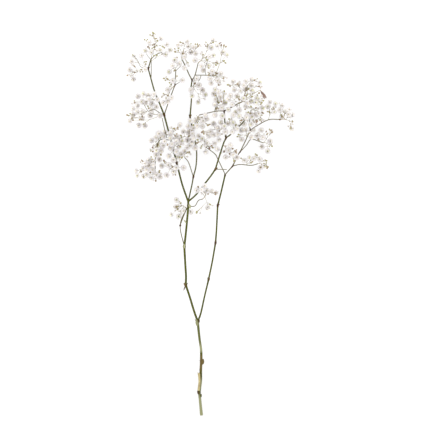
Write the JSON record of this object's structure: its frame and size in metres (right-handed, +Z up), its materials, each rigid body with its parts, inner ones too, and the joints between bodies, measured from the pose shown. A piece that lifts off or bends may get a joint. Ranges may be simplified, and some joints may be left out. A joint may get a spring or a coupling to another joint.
{
  "type": "gypsophila stem",
  "caption": "Cut baby's breath stem lying flat: a forked green stem with fine sprays of small double white blooms and buds.",
  "frame": {"origin": "middle of the box round the stem in X and Y, at the surface that it lies on", "axes": "+Y along the stem from its cut end to its blooms, +Z up from the surface, +X to the right seen from above"},
  "size_m": [0.172, 0.3904, 0.0472],
  "materials": {
    "stem_green": "matte",
    "petal_white": "matte",
    "dry_tan": "matte",
    "withered_brown": "matte"
  },
  "bodies": {
    "root": {"dry_sheath": "dry_tan", "main_stem": "stem_green", "spray_arm_inner": "petal_white", "spray_arm_lower": "petal_white", "spray_arm_upper": "petal_white", "spray_centre_left": "petal_white", "spray_centre_low": "petal_white", "spray_centre_middle": "petal_white", "spray_centre_right": "petal_white", "spray_centre_top": "petal_white", "spray_cloud_left_inner": "petal_white", "spray_cloud_left_low": "petal_white", "spray_cloud_left_middle": "petal_white", "spray_cloud_left_top": "petal_white", "spray_crown_inner": "petal_white", "spray_crown_left": "petal_white", "spray_crown_right": "petal_white", "spray_crown_side": "petal_white", "spray_fan": "petal_white", "spray_far_right": "petal_white", "spray_far_right_top": "petal_white", "spray_far_top_right": "petal_white", "spray_inner_top": "petal_white", "spray_lobe_left": "petal_white", "spray_lobe_low": "petal_white", "spray_low_left": "petal_white", "spray_low_right": "petal_white", "spray_middle_low": "petal_white", "spray_middle_right": "petal_white", "spray_right_cloud_left": "petal_white", "spray_right_cloud_low": "petal_white", "spray_right_cloud_side": "petal_white", "spray_right_cloud_top": "petal_white", "spray_right_low": "petal_white", "spray_right_middle": "petal_white", "spray_right_small": "petal_white", "spray_top_left": "petal_white", "spray_top_middle": "petal_white", "spray_top_right": "petal_white", "withered_bloom": "withered_brown"}
  },
  "joints": []
}
